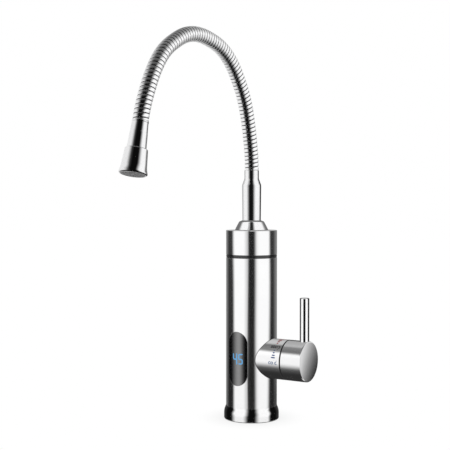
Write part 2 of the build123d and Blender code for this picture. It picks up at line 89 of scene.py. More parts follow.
class Tree:
    """Short hand for building a node tree."""

    def __init__(self, material):
        material.use_nodes = True
        self.nt = material.node_tree
        self.nt.nodes.clear()
        self.out = self.nt.nodes.new("ShaderNodeOutputMaterial")

    def add(self, kind, **inputs):
        n = self.nt.nodes.new(kind)
        for key, value in inputs.items():
            self.set(n, key, value)
        return n

    def set(self, n, key, value):
        socket = n.inputs[key.replace("_", " ")] if isinstance(key, str) and key.replace("_", " ") in n.inputs else n.inputs[key]
        if isinstance(value, bpy.types.NodeSocket):
            self.nt.links.new(value, socket)
        else:
            socket.default_value = value

    def link(self, a, b):
        self.nt.links.new(a, b)

    def math(self, op, a, b=0.0, c=0.0):
        n = self.nt.nodes.new("ShaderNodeMath")
        n.operation = op
        for i, v in enumerate((a, b, c)):
            if isinstance(v, bpy.types.NodeSocket):
                self.link(v, n.inputs[i])
            else:
                n.inputs[i].default_value = v
        return n.outputs[0]

    def place(self, scale=(1, 1, 1)):
        """Object coordinates, stretched."""
        tc = self.nt.nodes.new("ShaderNodeTexCoord")
        mp = self.nt.nodes.new("ShaderNodeMapping")
        mp.inputs["Scale"].default_value = scale
        self.link(tc.outputs["Object"], mp.inputs["Vector"])
        return mp.outputs["Vector"]

    def noise(self, vector, scale, detail=2.0, rough=0.5, distort=0.0):
        n = self.nt.nodes.new("ShaderNodeTexNoise")
        self.link(vector, n.inputs["Vector"])
        n.inputs["Scale"].default_value = scale
        n.inputs["Detail"].default_value = detail
        n.inputs["Roughness"].default_value = rough
        n.inputs["Distortion"].default_value = distort
        return n.outputs["Fac"]

    def ramp(self, value, low, high, to_low, to_high):
        n = self.nt.nodes.new("ShaderNodeMapRange")
        self.link(value, n.inputs["Value"])
        n.inputs["From Min"].default_value = low
        n.inputs["From Max"].default_value = high
        n.inputs["To Min"].default_value = to_low
        n.inputs["To Max"].default_value = to_high
        return n.outputs["Result"]

    def mix(self, value, a, b):
        n = self.nt.nodes.new("ShaderNodeMix")
        n.data_type = "RGBA"
        self.link(value, n.inputs["Factor"])
        n.inputs["A"].default_value = (*a, 1)
        n.inputs["B"].default_value = (*b, 1)
        return n.outputs["Result"]

    def bump(self, height, distance, strength=1.0):
        n = self.nt.nodes.new("ShaderNodeBump")
        self.link(height, n.inputs["Height"])
        n.inputs["Distance"].default_value = distance
        n.inputs["Strength"].default_value = strength
        return n.outputs["Normal"]

    def principled(self, **inputs):
        n = self.add("ShaderNodeBsdfPrincipled", **inputs)
        self.link(n.outputs[0], self.out.inputs["Surface"])
        return n


def metal(name, low, high, rough_low, rough_high, grain=(1, 1, 1), grain_scale=900.0, depth=0.0, soil=0.0):
    """Metal with a fine grain: colour and roughness vary along the grain, which also lifts the surface a little."""
    m = bpy.data.materials.new(name)
    t = Tree(m)
    at = t.place(grain)
    fine = t.noise(at, grain_scale, 3.0, 0.6)
    broad = t.noise(t.place(), 38.0, 2.0, 0.5)
    both = t.math("MULTIPLY_ADD", broad, 0.35, t.math("MULTIPLY", fine, 0.65))
    inputs = dict(
        Base_Color=t.mix(t.ramp(both, 0.3, 0.7, 0.0, 1.0), low, high),
        Metallic=1.0,
        Roughness=t.ramp(both, 0.3, 0.7, rough_low, rough_high),
    )
    if depth:
        inputs["Normal"] = t.bump(fine, depth)
    t.principled(**inputs)
    return m


def solid(name, low, high, rough_low, rough_high, scale=400.0, depth=0.0, level=0.5, detail=3.0):
    """Moulded or cast stuff: a mottled colour with a fine surface."""
    m = bpy.data.materials.new(name)
    t = Tree(m)
    spots = t.noise(t.place(), scale, detail, 0.6)
    broad = t.noise(t.place(), scale * 0.06, 2.0, 0.5)
    both = t.math("MULTIPLY_ADD", broad, 0.5, t.math("MULTIPLY", spots, 0.5))
    inputs = dict(
        Base_Color=t.mix(t.ramp(both, 0.3, 0.7, 0.0, 1.0), low, high),
        Roughness=t.ramp(both, 0.3, 0.7, rough_low, rough_high),
        Specular_IOR_Level=level,
    )
    if depth:
        inputs["Normal"] = t.bump(spots, depth)
    t.principled(**inputs)
    return m


# ---------------------------------------------------------------- materials
MAT = {
    # round parts are turned or brushed round their axis, the side arm is brushed along its length
    "body": metal("body_steel", (0.88, 0.88, 0.885), (0.95, 0.95, 0.952), 0.09, 0.14, (0.05, 0.05, 1.0), 5200.0, 0.000002),
    "arm": metal("arm_steel", (0.86, 0.86, 0.865), (0.95, 0.95, 0.952), 0.10, 0.16, (0.05, 1.0, 1.0), 5200.0, 0.000003),
    "polished": metal("polished_steel", (0.90, 0.90, 0.905), (0.95, 0.95, 0.95), 0.06, 0.10, (0.1, 0.1, 1.0), 2500.0),
    "pin": metal("pin_steel", (0.90, 0.90, 0.905), (0.95, 0.95, 0.95), 0.04, 0.07, (0.1, 0.1, 1.0), 2500.0),
    "chrome": metal("chrome_plate", (0.90, 0.90, 0.905), (0.94, 0.94, 0.945), 0.05, 0.08),
    "cone": metal("cone_chrome", (0.90, 0.90, 0.905), (0.94, 0.94, 0.945), 0.07, 0.10),
    "hose": metal("hose_steel", (0.84, 0.84, 0.845), (0.93, 0.93, 0.935), 0.13, 0.19),
    # painted shade: the hose grooves and the walls beside them get this dark metal so that they read shaded
    "groove": metal("hose_groove_painted_shade", (0.10, 0.10, 0.105), (0.18, 0.18, 0.185), 0.45, 0.6),
    "stainless": metal("stainless_steel", (0.58, 0.58, 0.59), (0.68, 0.68, 0.68), 0.25, 0.38),
    "brass": metal("brass_metal", (0.62, 0.43, 0.19), (0.74, 0.54, 0.26), 0.25, 0.4, (1, 1, 1), 700.0, 0.00001),
    "black_plastic": solid("black_plastic", (0.008, 0.008, 0.009), (0.016, 0.016, 0.017), 0.28, 0.4, 900.0, 0.000004),
    # near-black matte for the lever seam ring, and for the arm bead, whose black is painted joint shade
    "groove_black": solid("groove_black", (0.004, 0.004, 0.0045), (0.009, 0.009, 0.0095), 0.6, 0.75, 900.0, 0.000004, level=0.12),
    "white_plastic": solid("white_plastic", (0.72, 0.72, 0.70), (0.80, 0.80, 0.79), 0.35, 0.5, 500.0, 0.000006),
    "grey_plastic": solid("grey_plastic", (0.60, 0.60, 0.605), (0.67, 0.67, 0.675), 0.4, 0.55, 700.0, 0.000006),
    "board_green": solid("board_green", (0.01, 0.09, 0.03), (0.02, 0.15, 0.05), 0.3, 0.45, 250.0),
    "display_dark": solid("display_dark", (0.012, 0.012, 0.014), (0.02, 0.02, 0.022), 0.35, 0.5, 600.0),
    "rubber": solid("black_rubber", (0.012, 0.012, 0.012), (0.03, 0.03, 0.03), 0.6, 0.8, 800.0, 0.00002),
    "silicone": solid("silicone_tube", (0.55, 0.55, 0.53), (0.66, 0.66, 0.64), 0.4, 0.55, 400.0),
    "ceramic": solid("ceramic_white", (0.82, 0.81, 0.78), (0.88, 0.87, 0.85), 0.12, 0.2, 300.0),
    "lead_red": solid("lead_red", (0.45, 0.02, 0.015), (0.6, 0.04, 0.03), 0.35, 0.5, 500.0),
}


def window_material():
    """Black glass: strong soft mirror over a black ground."""
    m = bpy.data.materials.new("black_glass")
    t = Tree(m)
    soft = t.noise(t.place(), 60.0, 2.0, 0.5)
    t.principled(
        Base_Color=t.mix(soft, (0.004, 0.004, 0.0045), (0.007, 0.007, 0.0075)),
        Roughness=t.ramp(soft, 0.3, 0.7, 0.03, 0.045),
        IOR=2.0,
    )
    return m


def seam_material():
    """Glossy black moulding of the seam ring."""
    m = bpy.data.materials.new("gloss_black_plastic")
    t = Tree(m)
    spots = t.noise(t.place(), 700.0, 2.0, 0.5)
    t.principled(
        Base_Color=t.mix(spots, (0.006, 0.006, 0.007), (0.012, 0.012, 0.013)),
        Roughness=t.ramp(spots, 0.3, 0.7, 0.13, 0.18),
        IOR=1.7,
    )
    return m


def glow_material(name, colour, strength, ground):
    """Lit segments, fading a little from place to place."""
    m = bpy.data.materials.new(name)
    t = Tree(m)
    v = t.noise(t.place(), 900.0, 2.0, 0.5)
    t.principled(
        Base_Color=(*ground, 1),
        Roughness=0.5,
        Emission_Color=t.mix(v, tuple(c * 0.92 for c in colour), colour),
        Emission_Strength=strength,
    )
    return m


def ink_material(name, low, high):
    return solid(name, low, high, 0.3, 0.45, 1500.0, level=0.3)


MAT["window"] = window_material()
MAT["seam"] = seam_material()
MAT["digits"] = glow_material("lit_segments", (0.13, 0.44, 0.82), 0.85, (0.01, 0.02, 0.03))
MAT["ink_blue"] = ink_material("ink_blue", (0.012, 0.07, 0.27), (0.02, 0.09, 0.32))
MAT["ink_pale_blue"] = ink_material("ink_pale_blue", (0.10, 0.19, 0.38), (0.14, 0.24, 0.44))
MAT["ink_red"] = ink_material("ink_red", (0.34, 0.008, 0.015), (0.42, 0.014, 0.022))
MAT["ink_grey"] = ink_material("ink_grey", (0.006, 0.006, 0.007), (0.012, 0.012, 0.013))

LOOK = {
    "body": ["body_shell", "top_cap"],
    "arm": ["lever_housing", "handle_knob"],
    "pin": ["handle_pin"],
    "polished": ["base_flange"],
    "cone": ["cone_nut"],
    "chrome": ["spout_collar", "nozzle_ferrule", "nozzle_bell"],
    "window": ["display_window"],
    "seam": ["seam_ring"],
    "groove_black": ["lever_seam_ring"],
    "black_plastic": ["cable_gland", "power_triac", "reed_switch", "thermal_cutout"],
    "display_dark": ["led_display"],
    "board_green": ["control_board"],
    "white_plastic": ["base_plate", "cartridge_body", "flow_housing", "flow_piston", "slip_ring"],
    "grey_plastic": ["aerator_insert"],
    "brass": ["inlet_shank", "fixing_nut", "valve_body", "cartridge_nut", "outlet_spigot"],
    "rubber": ["deck_gasket", "rubber_washer", "tank_seal", "spigot_seals"],
    "ceramic": ["fixed_disc", "moving_disc"],
    "lead_red": ["inner_leads"],
    "stainless": ["shell_screws", "fixing_washer", "inlet_filter", "heater_tank", "tank_cover", "heating_element",
                  "temperature_sensor", "flow_spring", "spindle", "grub_screw", "piston_magnet"],
}
look_of = {n: look for look, names in LOOK.items() for n in names}
for name, obj in nodes.items():
    if name.startswith("hose_casing"):
        look = "hose"
    elif name.startswith("hose_liner"):
        look = "silicone"
    else:
        look = look_of[name]
    obj.data.materials.clear()
    obj.data.materials.append(MAT[look])

# ---------------------------------------------------------------- steel hose, bent along its line
MM = 0.001
HOSE_START = 248.2
HINGES = 5
HOSE_LENGTH = 305.12
STEP = HOSE_LENGTH / HINGES
HINGE_AT = [STEP * (i + 0.5) for i in range(HINGES)]
HINGE_ANGLE = [11.09, 35.67, 78.83, 118.65, 154.56]
MID_ANGLE = [18.42, 55.41, 97.42, 141.32]
START_ANGLE, LAST_ANGLE, END_ANGLE, FLAT = 5.66, 161.5, 166.6, 5.0
STATIONS = [(0.0, 0.0), ((HINGE_AT[0] - FLAT) / 2, START_ANGLE)]
for i in range(HINGES):
    STATIONS += [(HINGE_AT[i] - FLAT, HINGE_ANGLE[i]), (HINGE_AT[i] + FLAT, HINGE_ANGLE[i])]
    if i < HINGES - 1:
        STATIONS.append(((HINGE_AT[i] + HINGE_AT[i + 1]) / 2, MID_ANGLE[i]))
STATIONS += [((HINGE_AT[-1] + FLAT + HOSE_LENGTH) / 2, LAST_ANGLE), (HOSE_LENGTH, END_ANGLE)]
DS = 0.25
COUNT = int(round(HOSE_LENGTH / DS))


def raw_angle(s):
    if s <= 0:
        return 0.0
    for (l0, a0), (l1, a1) in zip(STATIONS, STATIONS[1:]):
        if s <= l1:
            return a0 + (a1 - a0) * (s - l0) / (l1 - l0)
    return END_ANGLE


def line_from(angles):
    pts = [(0.0, HOSE_START)]
    for k in range(COUNT):
        a = math.radians((angles[k] + angles[k + 1]) / 2)
        h = HOSE_LENGTH / COUNT
        pts.append((pts[-1][0] - math.sin(a) * h, pts[-1][1] + math.cos(a) * h))
    return pts


def smoothed_angles():
    """The bend spread evenly, as steel hose takes it, with both ends kept."""
    raw = [raw_angle(k * HOSE_LENGTH / COUNT) for k in range(COUNT + 1)]
    half = int(10.0 / DS)
    weights = [math.exp(-0.5 * (j * DS / 5.5) ** 2) for j in range(-half, half + 1)]
    out = []
    for k in range(COUNT + 1):
        edge = min(k, COUNT - k, half)
        total = value = 0.0
        for j in range(-edge, edge + 1):
            w = weights[j + half]
            total += w
            value += w * raw[k + j]
        out.append(value / total)
    return out


ANGLES = smoothed_angles()
CAD_LINE = line_from([raw_angle(k * HOSE_LENGTH / COUNT) for k in range(COUNT + 1)])
LINE = line_from(ANGLES)
miss = (CAD_LINE[-1][0] - LINE[-1][0], CAD_LINE[-1][1] - LINE[-1][1])
LINE = [(y + miss[0] * k / COUNT, z + miss[1] * k / COUNT) for k, (y, z) in enumerate(LINE)]


def on_line(s):
    """Centre (y, z) and angle at a length, all in mm and radians."""
    x = max(0.0, min(COUNT - 1e-6, s / HOSE_LENGTH * COUNT))
    k = int(x)
    f = x - k
    (y0, z0), (y1, z1) = LINE[k], LINE[k + 1]
    a = ANGLES[k] + (ANGLES[k + 1] - ANGLES[k]) * f
    y, z = y0 + (y1 - y0) * f, z0 + (z1 - z0) * f
    t = math.radians(a)
    over = s - x * HOSE_LENGTH / COUNT
    return y - math.sin(t) * over, z + math.cos(t) * over, t


def bend(co):
    """A point of the straight hose, with its length along Z, to its place on the bent line."""
    y, z, t = on_line(co.z)
    return Vector((co.x, y + co.y * math.cos(t), z + co.y * math.sin(t))) * MM


PITCH = 3.93
R_OUT = 7.13
# One turn of the wound strip, as (place along the pitch, radius): a flat crowned band,
# its rolled edge, and the narrow groove where the next turn hooks in.
BAND = [(0.00, 6.42), (0.035, 6.50), (0.075, 6.86), (0.13, 7.03), (0.21, 7.10), (0.33, R_OUT), (0.47, R_OUT), (0.60, 7.11),
        (0.72, 7.07), (0.82, 7.00), (0.895, 6.86), (0.945, 6.62), (0.975, 6.44)]
AROUND = 48


def hose_piece(name, low, high):
    """Wound strip between two lengths, closed with a plain inner wall."""
    bm = bmesh.new()
    first = int(math.floor(low / PITCH)) - 2
    last = int(math.ceil(high / PITCH)) + 2
    rows = [(k + p, r) for k in range(first, last) for p, r in BAND]
    # the strip is wound, so each row climbs one pitch in a turn and joins the row one turn on
    per = len(BAND)
    grid = []
    for along, r in rows:
        ring = []
        for j in range(AROUND):
            a = 2 * math.pi * j / AROUND
            ring.append(bm.verts.new((r * math.cos(a), r * math.sin(a), (along + j / AROUND) * PITCH)))
        grid.append(ring)
    for i in range(len(rows) - 1):
        # groove rows and the walls beside them take the dark second slot: painted shade
        groove_shade = 1 if i % per in (0, 1, per - 3, per - 2, per - 1) else 0
        for j in range(AROUND - 1):
            bm.faces.new((grid[i][j], grid[i][j + 1], grid[i + 1][j + 1], grid[i + 1][j])).material_index = groove_shade
        if i + per + 1 < len(rows):
            bm.faces.new((grid[i][AROUND - 1], grid[i + per][0], grid[i + per + 1][0], grid[i + 1][AROUND - 1])).material_index = groove_shade
    for z, outward in ((low, -1), (high, 1)):
        geom = list(bm.verts) + list(bm.edges) + list(bm.faces)
        bmesh.ops.bisect_plane(bm, geom=geom, plane_co=(0, 0, z), plane_no=(0, 0, outward), clear_outer=True, dist=1e-5)
    for v in [v for v in bm.verts if not v.link_faces]:
        bm.verts.remove(v)
    rims = [[], []]
    for e in bm.edges:
        if len(e.link_faces) == 1:
            rims[0 if e.verts[0].co.z < (low + high) / 2 else 1].append(e)
    steps = max(2, int((high - low) / 3.0))
    inner = []
    for i in range(steps + 1):
        z = low + (high - low) * i / steps
        inner.append([bm.verts.new((5.7 * math.cos(2 * math.pi * j / AROUND), 5.7 * math.sin(2 * math.pi * j / AROUND), z)) for j in range(AROUND)])
    for i in range(steps):
        for j in range(AROUND):
            k = (j + 1) % AROUND
            bm.faces.new((inner[i][j], inner[i + 1][j], inner[i + 1][k], inner[i][k]))
    for rim, ring in ((rims[0], inner[0]), (rims[1], inner[-1])):
        edges = [bm.edges.get((ring[j], ring[(j + 1) % AROUND])) for j in range(AROUND)]
        bmesh.ops.bridge_loops(bm, edges=rim + edges)
    for v in bm.verts:
        v.co = bend(v.co)
    obj = new_mesh_object(name, bm)
    obj.data.materials.append(MAT["hose"])
    # the dark groove metal is painted shade
    obj.data.materials.append(MAT["groove"])
    return obj


hose_pieces = []
for i in range(HINGES):
    low = 0.3 if i == 0 else STEP * i
    high = HOSE_LENGTH - 0.2 if i == HINGES - 1 else STEP * (i + 1)
    piece = hose_piece(f"steel_hose_{i + 1}", low, high)
    y, z, t = on_line(HINGE_AT[i])
    centre = Vector((0, y, z))
    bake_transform(piece)
    covers = ["hose_casing_0", "hose_casing_1"] if i == 0 else [f"hose_casing_{i + 1}"]
    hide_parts(*covers)
    hose_pieces.append(piece)

# ---------------------------------------------------------------- lit digits in the window
WINDOW_TURN = math.radians(-4.2)


def wrap_window(u, v, r):
    """u mm round from the window's middle, v mm up."""
    a = WINDOW_TURN + u / 25.45
    return Vector((r * math.sin(a), -r * math.cos(a), v)) * MM


def stroke(bm, points, width, place, closed_caps=True):
    """A raised ribbon with round ends along a line of (u, v) points. place(u, v, h) gives the surface at height h."""
    pts = [Vector((p[0], p[1])) for p in points]
    dense = []
    for a, b in zip(pts, pts[1:]):
        n = max(1, int((b - a).length / 0.35))
        for k in range(n):
            dense.append(a + (b - a) * k / n)
    dense.append(pts[-1])
    half = width / 2
    left, right = [], []
    for k, p in enumerate(dense):
        a = dense[max(0, k - 1)]
        b = dense[min(len(dense) - 1, k + 1)]
        d = (b - a).normalized()
        n = Vector((-d.y, d.x))
        left.append(p + n * half)
        right.append(p - n * half)
    d0 = (dense[1] - dense[0]).normalized()
    d1 = (dense[-1] - dense[-2]).normalized()
    cap0 = [dense[0] + Matrix.Rotation(math.radians(90 + 30 * k), 2) @ d0 * half for k in range(1, 6)]
    cap1 = [dense[-1] + Matrix.Rotation(math.radians(-90 + 30 * k), 2) @ d1 * half for k in range(1, 6)]
    outline = left + []
    loop = left[::-1] + cap0 + right + cap1
    top = [bm.verts.new(place(p.x, p.y, 1)) for p in loop]
    low = [bm.verts.new(place(p.x, p.y, 0)) for p in loop]
    count = len(left)
    # the ribbon itself, then its two round ends
    lt = top[:count][::-1]
    rt = top[count + 5:count + 5 + count]
    for k in range(count - 1):
        bm.faces.new((lt[k], lt[k + 1], rt[k + 1], rt[k]))
    bm.faces.new([lt[0]] + top[count:count + 5] + [rt[0]])
    bm.faces.new([rt[-1]] + top[count + 5 + count:] + [lt[-1]])
    n = len(loop)
    for k in range(n):
        bm.faces.new((low[k], low[(k + 1) % n], top[(k + 1) % n], top[k]))


def arc_points(cx, cy, rx, ry, a0, a1, n=8):
    return [(cx + rx * math.cos(math.radians(a0 + (a1 - a0) * k / n)), cy + ry * math.sin(math.radians(a0 + (a1 - a0) * k / n))) for k in range(n + 1)]


def on_window(u, v, h):
    return wrap_window(u, v, 25.425 + 0.02 * h)


bm = bmesh.new()
four_left = [(-4.15, 66.9), (-4.15, 63.3)] + arc_points(-2.75, 63.3, 1.4, 1.35, 180, 270)[1:] + [(-0.1, 62.0)]
four_right = [(-0.1, 67.2), (-0.02, 57.5)]
five = [(5.95, 67.1), (3.4, 66.95)] + arc_points(3.4, 65.9, 1.0, 1.0, 90, 180)[1:] + [(2.4, 63.2)] + arc_points(3.4, 63.2, 1.0, 1.05, 180, 270)[1:] + \
    [(4.8, 62.15)] + arc_points(4.8, 60.9, 1.3, 1.25, 90, 0)[1:] + [(6.1, 59.0)] + arc_points(4.8, 59.0, 1.3, 1.3, 0, -90)[1:] + [(2.65, 57.65)]
for line in (four_left, four_right, five):
    stroke(bm, line, 1.25, on_window)
digits = new_mesh_object("display_digits", bm, False)
digits.data.materials.append(MAT["digits"])
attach(digits, "root")

# ---------------------------------------------------------------- printed marks on the side arm
ARM_Z, ARM_R = 61.7, 19.8


def on_arm(x, w, h):
    """x mm along the arm, w degrees from the top towards the front, h 0 or 1 for sunk or printed height."""
    a = math.radians(w)
    r = ARM_R - 0.02 + 0.035 * h
    return Vector((x, -r * math.sin(a), ARM_Z + r * math.cos(a))) * MM


DEG = math.degrees(1 / ARM_R)


def bar(bm, x0, x1, w, width):
    """A printed bar along the arm from x0 to x1 at w degrees."""
    stroke(bm, [(x0, 0), (x1, 0)], width, lambda u, v, h: on_arm(u, w - v * DEG, h))


bm = bmesh.new()
bar(bm, 35.35, 35.45, 56.0, 1.2)
bar(bm, 35.15, 35.95, 63.3, 1.25)
bar(bm, 34.5, 36.7, 70.6, 1.15)
bar(bm, 33.9, 37.1, 77.4, 1.15)
cold_bars = new_mesh_object("cold_marks", bm, False)
cold_bars.data.materials.append(MAT["ink_blue"])
bm = bmesh.new()
bar(bm, 35.3, 35.5, 30.3, 1.6)
bar(bm, 34.9, 36.1, 22.5, 1.6)
bar(bm, 34.4, 36.9, 15.0, 1.5)
bar(bm, 33.8, 37.5, 7.5, 1.5)
hot_bars = new_mesh_object("hot_marks", bm, False)
hot_bars.data.materials.append(MAT["ink_red"])


def word(name, text, x_mid, w_mid, size, heavy, material):
    """Printed word along the arm, wrapped on it."""
    curve = bpy.data.curves.new(name + "_curve", "FONT")
    curve.body = text
    curve.size = size
    curve.offset = heavy
    curve.align_x = "CENTER"
    curve.align_y = "CENTER"
    curve.extrude = 0.5
    curve.resolution_u = 4
    temp = bpy.data.objects.new(name + "_temp", curve)
    scene.collection.objects.link(temp)
    bpy.context.view_layer.update()
    mesh = bpy.data.meshes.new_from_object(temp)
    bpy.data.objects.remove(temp)
    mesh.name = name
    for v in mesh.vertices:
        v.co = on_arm(x_mid + v.co.x, w_mid - v.co.y * DEG, 1 if v.co.z > 0 else 0)
    obj = bpy.data.objects.new(name, mesh)
    scene.collection.objects.link(obj)
    obj.data.materials.append(material)
    return obj


words = [word("stop_word", "stop", 35.6, 43.6, 5.9, 0.17, MAT["ink_grey"]),
         word("cold_word", "cold", 35.3, 91.3, 5.6, 0.14, MAT["ink_pale_blue"]),
         word("hot_word", "hot", 35.4, -6.0, 5.2, 0.10, MAT["ink_red"])]
for piece in [cold_bars, hot_bars] + words:
    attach(piece, "root")

# thin dark bead where the side arm enters the body: painted shade along the joint
bm = bmesh.new()
AROUND_ARM, AROUND_BEAD, BEAD = 96, 8, 0.28
grid = []
for i in range(AROUND_ARM):
    a = 2 * math.pi * i / AROUND_ARM
    y, z = -(ARM_R + 0.08) * math.sin(a), ARM_Z + (ARM_R + 0.08) * math.cos(a)
    centre = Vector((math.sqrt(25.5 ** 2 - y ** 2), y, z))
    out = Vector((centre.x, centre.y, 0)).normalized()
    up = Vector((0, -math.sin(a), math.cos(a)))
    up = (up - out * up.dot(out)).normalized()
    grid.append([bm.verts.new((centre + (out * math.cos(t) + up * math.sin(t)) * BEAD) * MM)
                 for t in (2 * math.pi * j / AROUND_BEAD for j in range(AROUND_BEAD))])
for i in range(AROUND_ARM):
    for j in range(AROUND_BEAD):
        p, q, k = grid[i], grid[(i + 1) % AROUND_ARM], (j + 1) % AROUND_BEAD
        bm.faces.new((p[j], p[k], q[k], q[j]))
bmesh.ops.recalc_face_normals(bm, faces=bm.faces)
joint_shade_bead = new_mesh_object("arm_bead", bm)
# its near-black is painted shade in the joint
joint_shade_bead.data.materials.append(MAT["groove_black"])
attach(joint_shade_bead, "root")

# ---------------------------------------------------------------- studio
# Big light domes with soft boxes painted by angle. Angles are measured round the object from
# the camera's side, positive to the right. Each dome lights only its own pieces.
FRONT_AZ = math.atan2(-0.84782, 0.50240)


def dome_body(az, el):
    """Two soft boxes left and right of the camera with a black strip between them."""
    side = abs(az)
    cap = smooth(el, -3.45, -3.05)
    if az < 0:
        inner = 1.4 * cap + 2.0 * smooth(-el, 9, 11.5)
        edge = 0.62 * smooth(side - inner, 9.5, 18.5) + 0.38 * smooth(side - inner, 17, 36)
        outer, fade = 86.7 + 1.3 * smooth(el, -5, -3.6) + 3.3 * cap, 10
    else:
        inner = -2.4 * cap - 2.8 * smooth(-el, 3.6, 7.8) + 2.8 * smooth(-el, 9.3, 11.4)
        edge = 0.90 * smooth(side - inner, 11, 29.5) + 0.10 * smooth(side - inner, 26, 38)
        outer, fade = 90 - 1.7 * cap - 8.3 * smooth(-el, 5.5, 12), 11 - 3 * cap
    box = edge * (1 - smooth(side, outer - fade, outer + fade))
    box *= max(0.55, smooth(el, -48, -6)) * (1 - smooth(el, 31, 47))
    shade = 0.018 + 0.02 * smooth(el, -12, -4) * smooth(side, 80, 100)
    if az < 0:
        back = 0.25 * smooth(side, 118, 160) * smooth(el, -24, -8) + 0.26 * smooth(side, 166, 178) * smooth(el, -14, -5)
    else:
        low = 0.25 + 0.75 * smooth(el, -12.5, -8)
        back = 0.22 * smooth(side, 108, 154) * low + 0.22 * smooth(side, 168, 178) * low
    sky = 0.38 * smooth(el, 40, 49) + 0.24 * smooth(el, 45, 55)
    ground = 0.09 * smooth(-el, 20, 50) + smooth(-el, 13.5, 19) * (0.30 * smooth(side, 112, 150) + 0.04)
    return shade + 1.05 * box + back * (1 - smooth(el, 35, 50)) + sky + ground


def dome_foot(az, el):
    """The same boxes as the wider foot ring mirrors them."""
    side = abs(az)
    up = smooth(el, -8, 4)
    if az < 0:
        edge = smooth(side, 13 - 3 * up, 38 - 4 * up)
        outer, fade = 81 + 3 * up, 14 - 4 * up
    else:
        edge = smooth(side, 11 + 2 * up, 37 + up)
        outer, fade = 79.5 + 4 * up, 9
    box = edge * (1 - smooth(side, outer - fade, outer + fade)) * (1 - smooth(el, 31, 47))
    ground = 0.26 * smooth(-el, 14.5, 19) * smooth(side, 112, 150)
    return 0.004 + ground + (0.80 + 0.23 * smooth(el, -20, -7)) * box + 0.05 * smooth(side, 118, 160) + 0.30 * smooth(side, 168, 178) + 0.04 * smooth(el, 40, 52)


def dome_window(az, el):
    """A tall soft lamp far to the left, seen in the black window."""
    d = az + 60
    lamp = (0.5 + 0.5 * math.cos(math.pi * min(1.0, abs(d) / (34.0 if d > 0 else 47.0)))) ** 1.3
    back = 0.5 * smooth(abs(az), 125, 165)
    return 0.015 + (2.2 * lamp + back) * smooth(el, -60, -30) * (1 - smooth(el, 45, 70))


def dome_housing(az, el):
    """The left soft box seen along the arm, with a dim sky over it."""
    side = abs(az)
    box = (0.90 * smooth(el, -43.5, -8) + 0.06 * smooth(el, -62, -40)) * (1 - smooth(el, 32.4, 48.3))
    sky = (0.165 + 0.04 * (1 - smooth(side, 85, 110)) + 0.42 * smooth(side, 122, 150)) * smooth(el, 10, 44)
    dip = 1 - 0.96 * smooth(az, 72, 92) * (1 - smooth(az, 150, 165))
    rear = 0.30 * smooth(side, 120, 170) * smooth(el, -6, 6) * (1 - smooth(el, 10, 44))
    return 0.03 + (1.03 * box * (1 - smooth(side, 104, 128)) + sky) * dip + rear


def dome_knob(az, el):
    """The same round the knob, and a fading wall to the right for the knob's face."""
    side = abs(az)
    box = (0.90 * smooth(el, -43.5, -8) + 0.06 * smooth(el, -62, -40)) * (1 - smooth(el, 30.2, 45.9))
    sky = (0.15 + 0.06 * smooth(side, 76, 98) + 0.27 * smooth(side, 106, 132) - 0.06 * smooth(side, 146, 165)) * smooth(el, 10, 44)
    near = 0.03 + 1.03 * box * (1 - smooth(side, 104, 128)) + sky
    if az <= 40:
        rear = 0.30 * smooth(side, 120, 170) * smooth(el, -6, 6)
        return near + rear * (1 - smooth(el, 10, 44))
    a, e = (az - 122) / 10, (el + 10) / 10
    grey = max(52.0, min(222.0, 126 - 56.5 * a + 56.7 * e + 9.3 * a * a + 22.2 * a * e + 14.5 * e * e))
    wall = ((grey / 255 + 0.055) / 1.055) ** 2.4 / 0.9
    mixed = smooth(az, 84, 98) * (1 - smooth(el, 25, 45)) * (1 - smooth(az, 150, 165))
    dip = 1 - 0.45 * smooth(az, 44, 72) * (1 - smooth(az, 86, 98))
    return near * dip * (1 - mixed) + wall * mixed


def dome_pin(az, el):
    """The same two soft boxes, nearer to the pin."""
    left = smooth(-az, 28, 38) * (1 - smooth(-az, 84, 104))
    right = smooth(az, 15, 27) * (1 - smooth(az, 72, 92))
    rear = 0.3 * smooth(abs(az), 150, 172)
    return 0.006 + 1.04 * max(left, right) + 0.05 * smooth(-az, 100, 120) + rear + 0.45 * smooth(el, 48, 72)


def dome_spout(az, el):
    """Soft boxes round the bent hose: higher up they stand further apart and fade."""
    up, down, side = max(0.0, el), max(0.0, -el), abs(az)
    if az < 0:
        white = smooth(side, 33 - 0.1 * up, 68 + 0.7 * up)
        if el >= 0:
            white *= (0.09 + 0.86 * (1 - smooth(up, 2, 76))) * (1 - 0.62 * smooth(side, 138, 176) * smooth(up, 0, 30))
        else:
            white *= (0.03 + 0.86 * (1 - smooth(down, 22, 92))) * (1 - 0.25 * smooth(side, 115, 140) * smooth(down, 10, 25))
    else:
        white = smooth(az, 8 + 0.45 * up + 0.1 * down, 50 + up + 0.55 * down)
        high = (0.11 + 0.97 * (1 - smooth(up, 8, 68))) * (1 - 0.18 * smooth(az, 104, 132))
        low = (0.03 + 0.94 * (1 - smooth(down, 14, 76))) * (1 - 0.62 * smooth(az, 98, 140) + 0.30 * smooth(az, 150, 176))
        mix = smooth(el, -4, 8)
        white *= high * mix + low * (1 - mix)
    return 0.006 + 1.08 * white + 0.10 * smooth(el, 36, 60)


def dome_nozzle(az, el):
    """Soft boxes round the nozzle, with a black strip behind it to the right and a dark ground."""
    side = abs(az)
    if az < 0:
        white = 0.80 * smooth(side, 31, 78) + 0.03 * smooth(side, 12, 34) + 0.04 * smooth(side, 68, 92)
    else:
        white = 1.0 * smooth(az, 37, 80) * (1 - 0.85 * smooth(az, 114, 138))
    white *= (1 - smooth(-el, 10, 38)) * (1 - 0.85 * smooth(el, 38, 62))
    return 0.004 + white + 0.05 * smooth(el, 60, 85)


